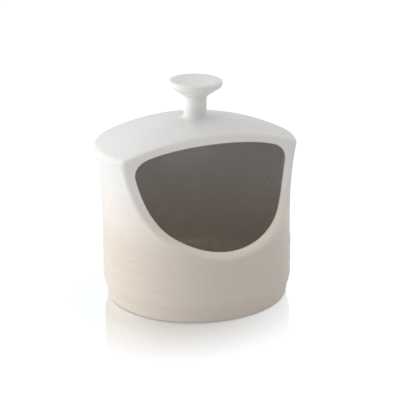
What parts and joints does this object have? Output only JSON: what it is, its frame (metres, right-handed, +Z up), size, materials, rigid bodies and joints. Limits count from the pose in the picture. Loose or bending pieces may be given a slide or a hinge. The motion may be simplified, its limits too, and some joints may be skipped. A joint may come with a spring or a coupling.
{
  "type": "salt pig",
  "caption": "Round stoneware salt pig with a domed hood, a turned knob on top and a wide scooped mouth in front.",
  "frame": {"origin": "centre of the foot's underside, on the pot's axis, at table level", "axes": "+Z up along the pot's axis to the knob; the mouth faces -Y; +X to the right seen from the front"},
  "size_m": [0.1098, 0.107, 0.1195],
  "materials": {
    "body_glaze": "glossy beige glaze that fades to white towards the rim, dark taupe inside",
    "hood_glaze": "glossy white glaze"
  },
  "bodies": {
    "root": {"pot_body": "body_glaze", "hood": "hood_glaze", "knob": "hood_glaze"}
  },
  "joints": []
}
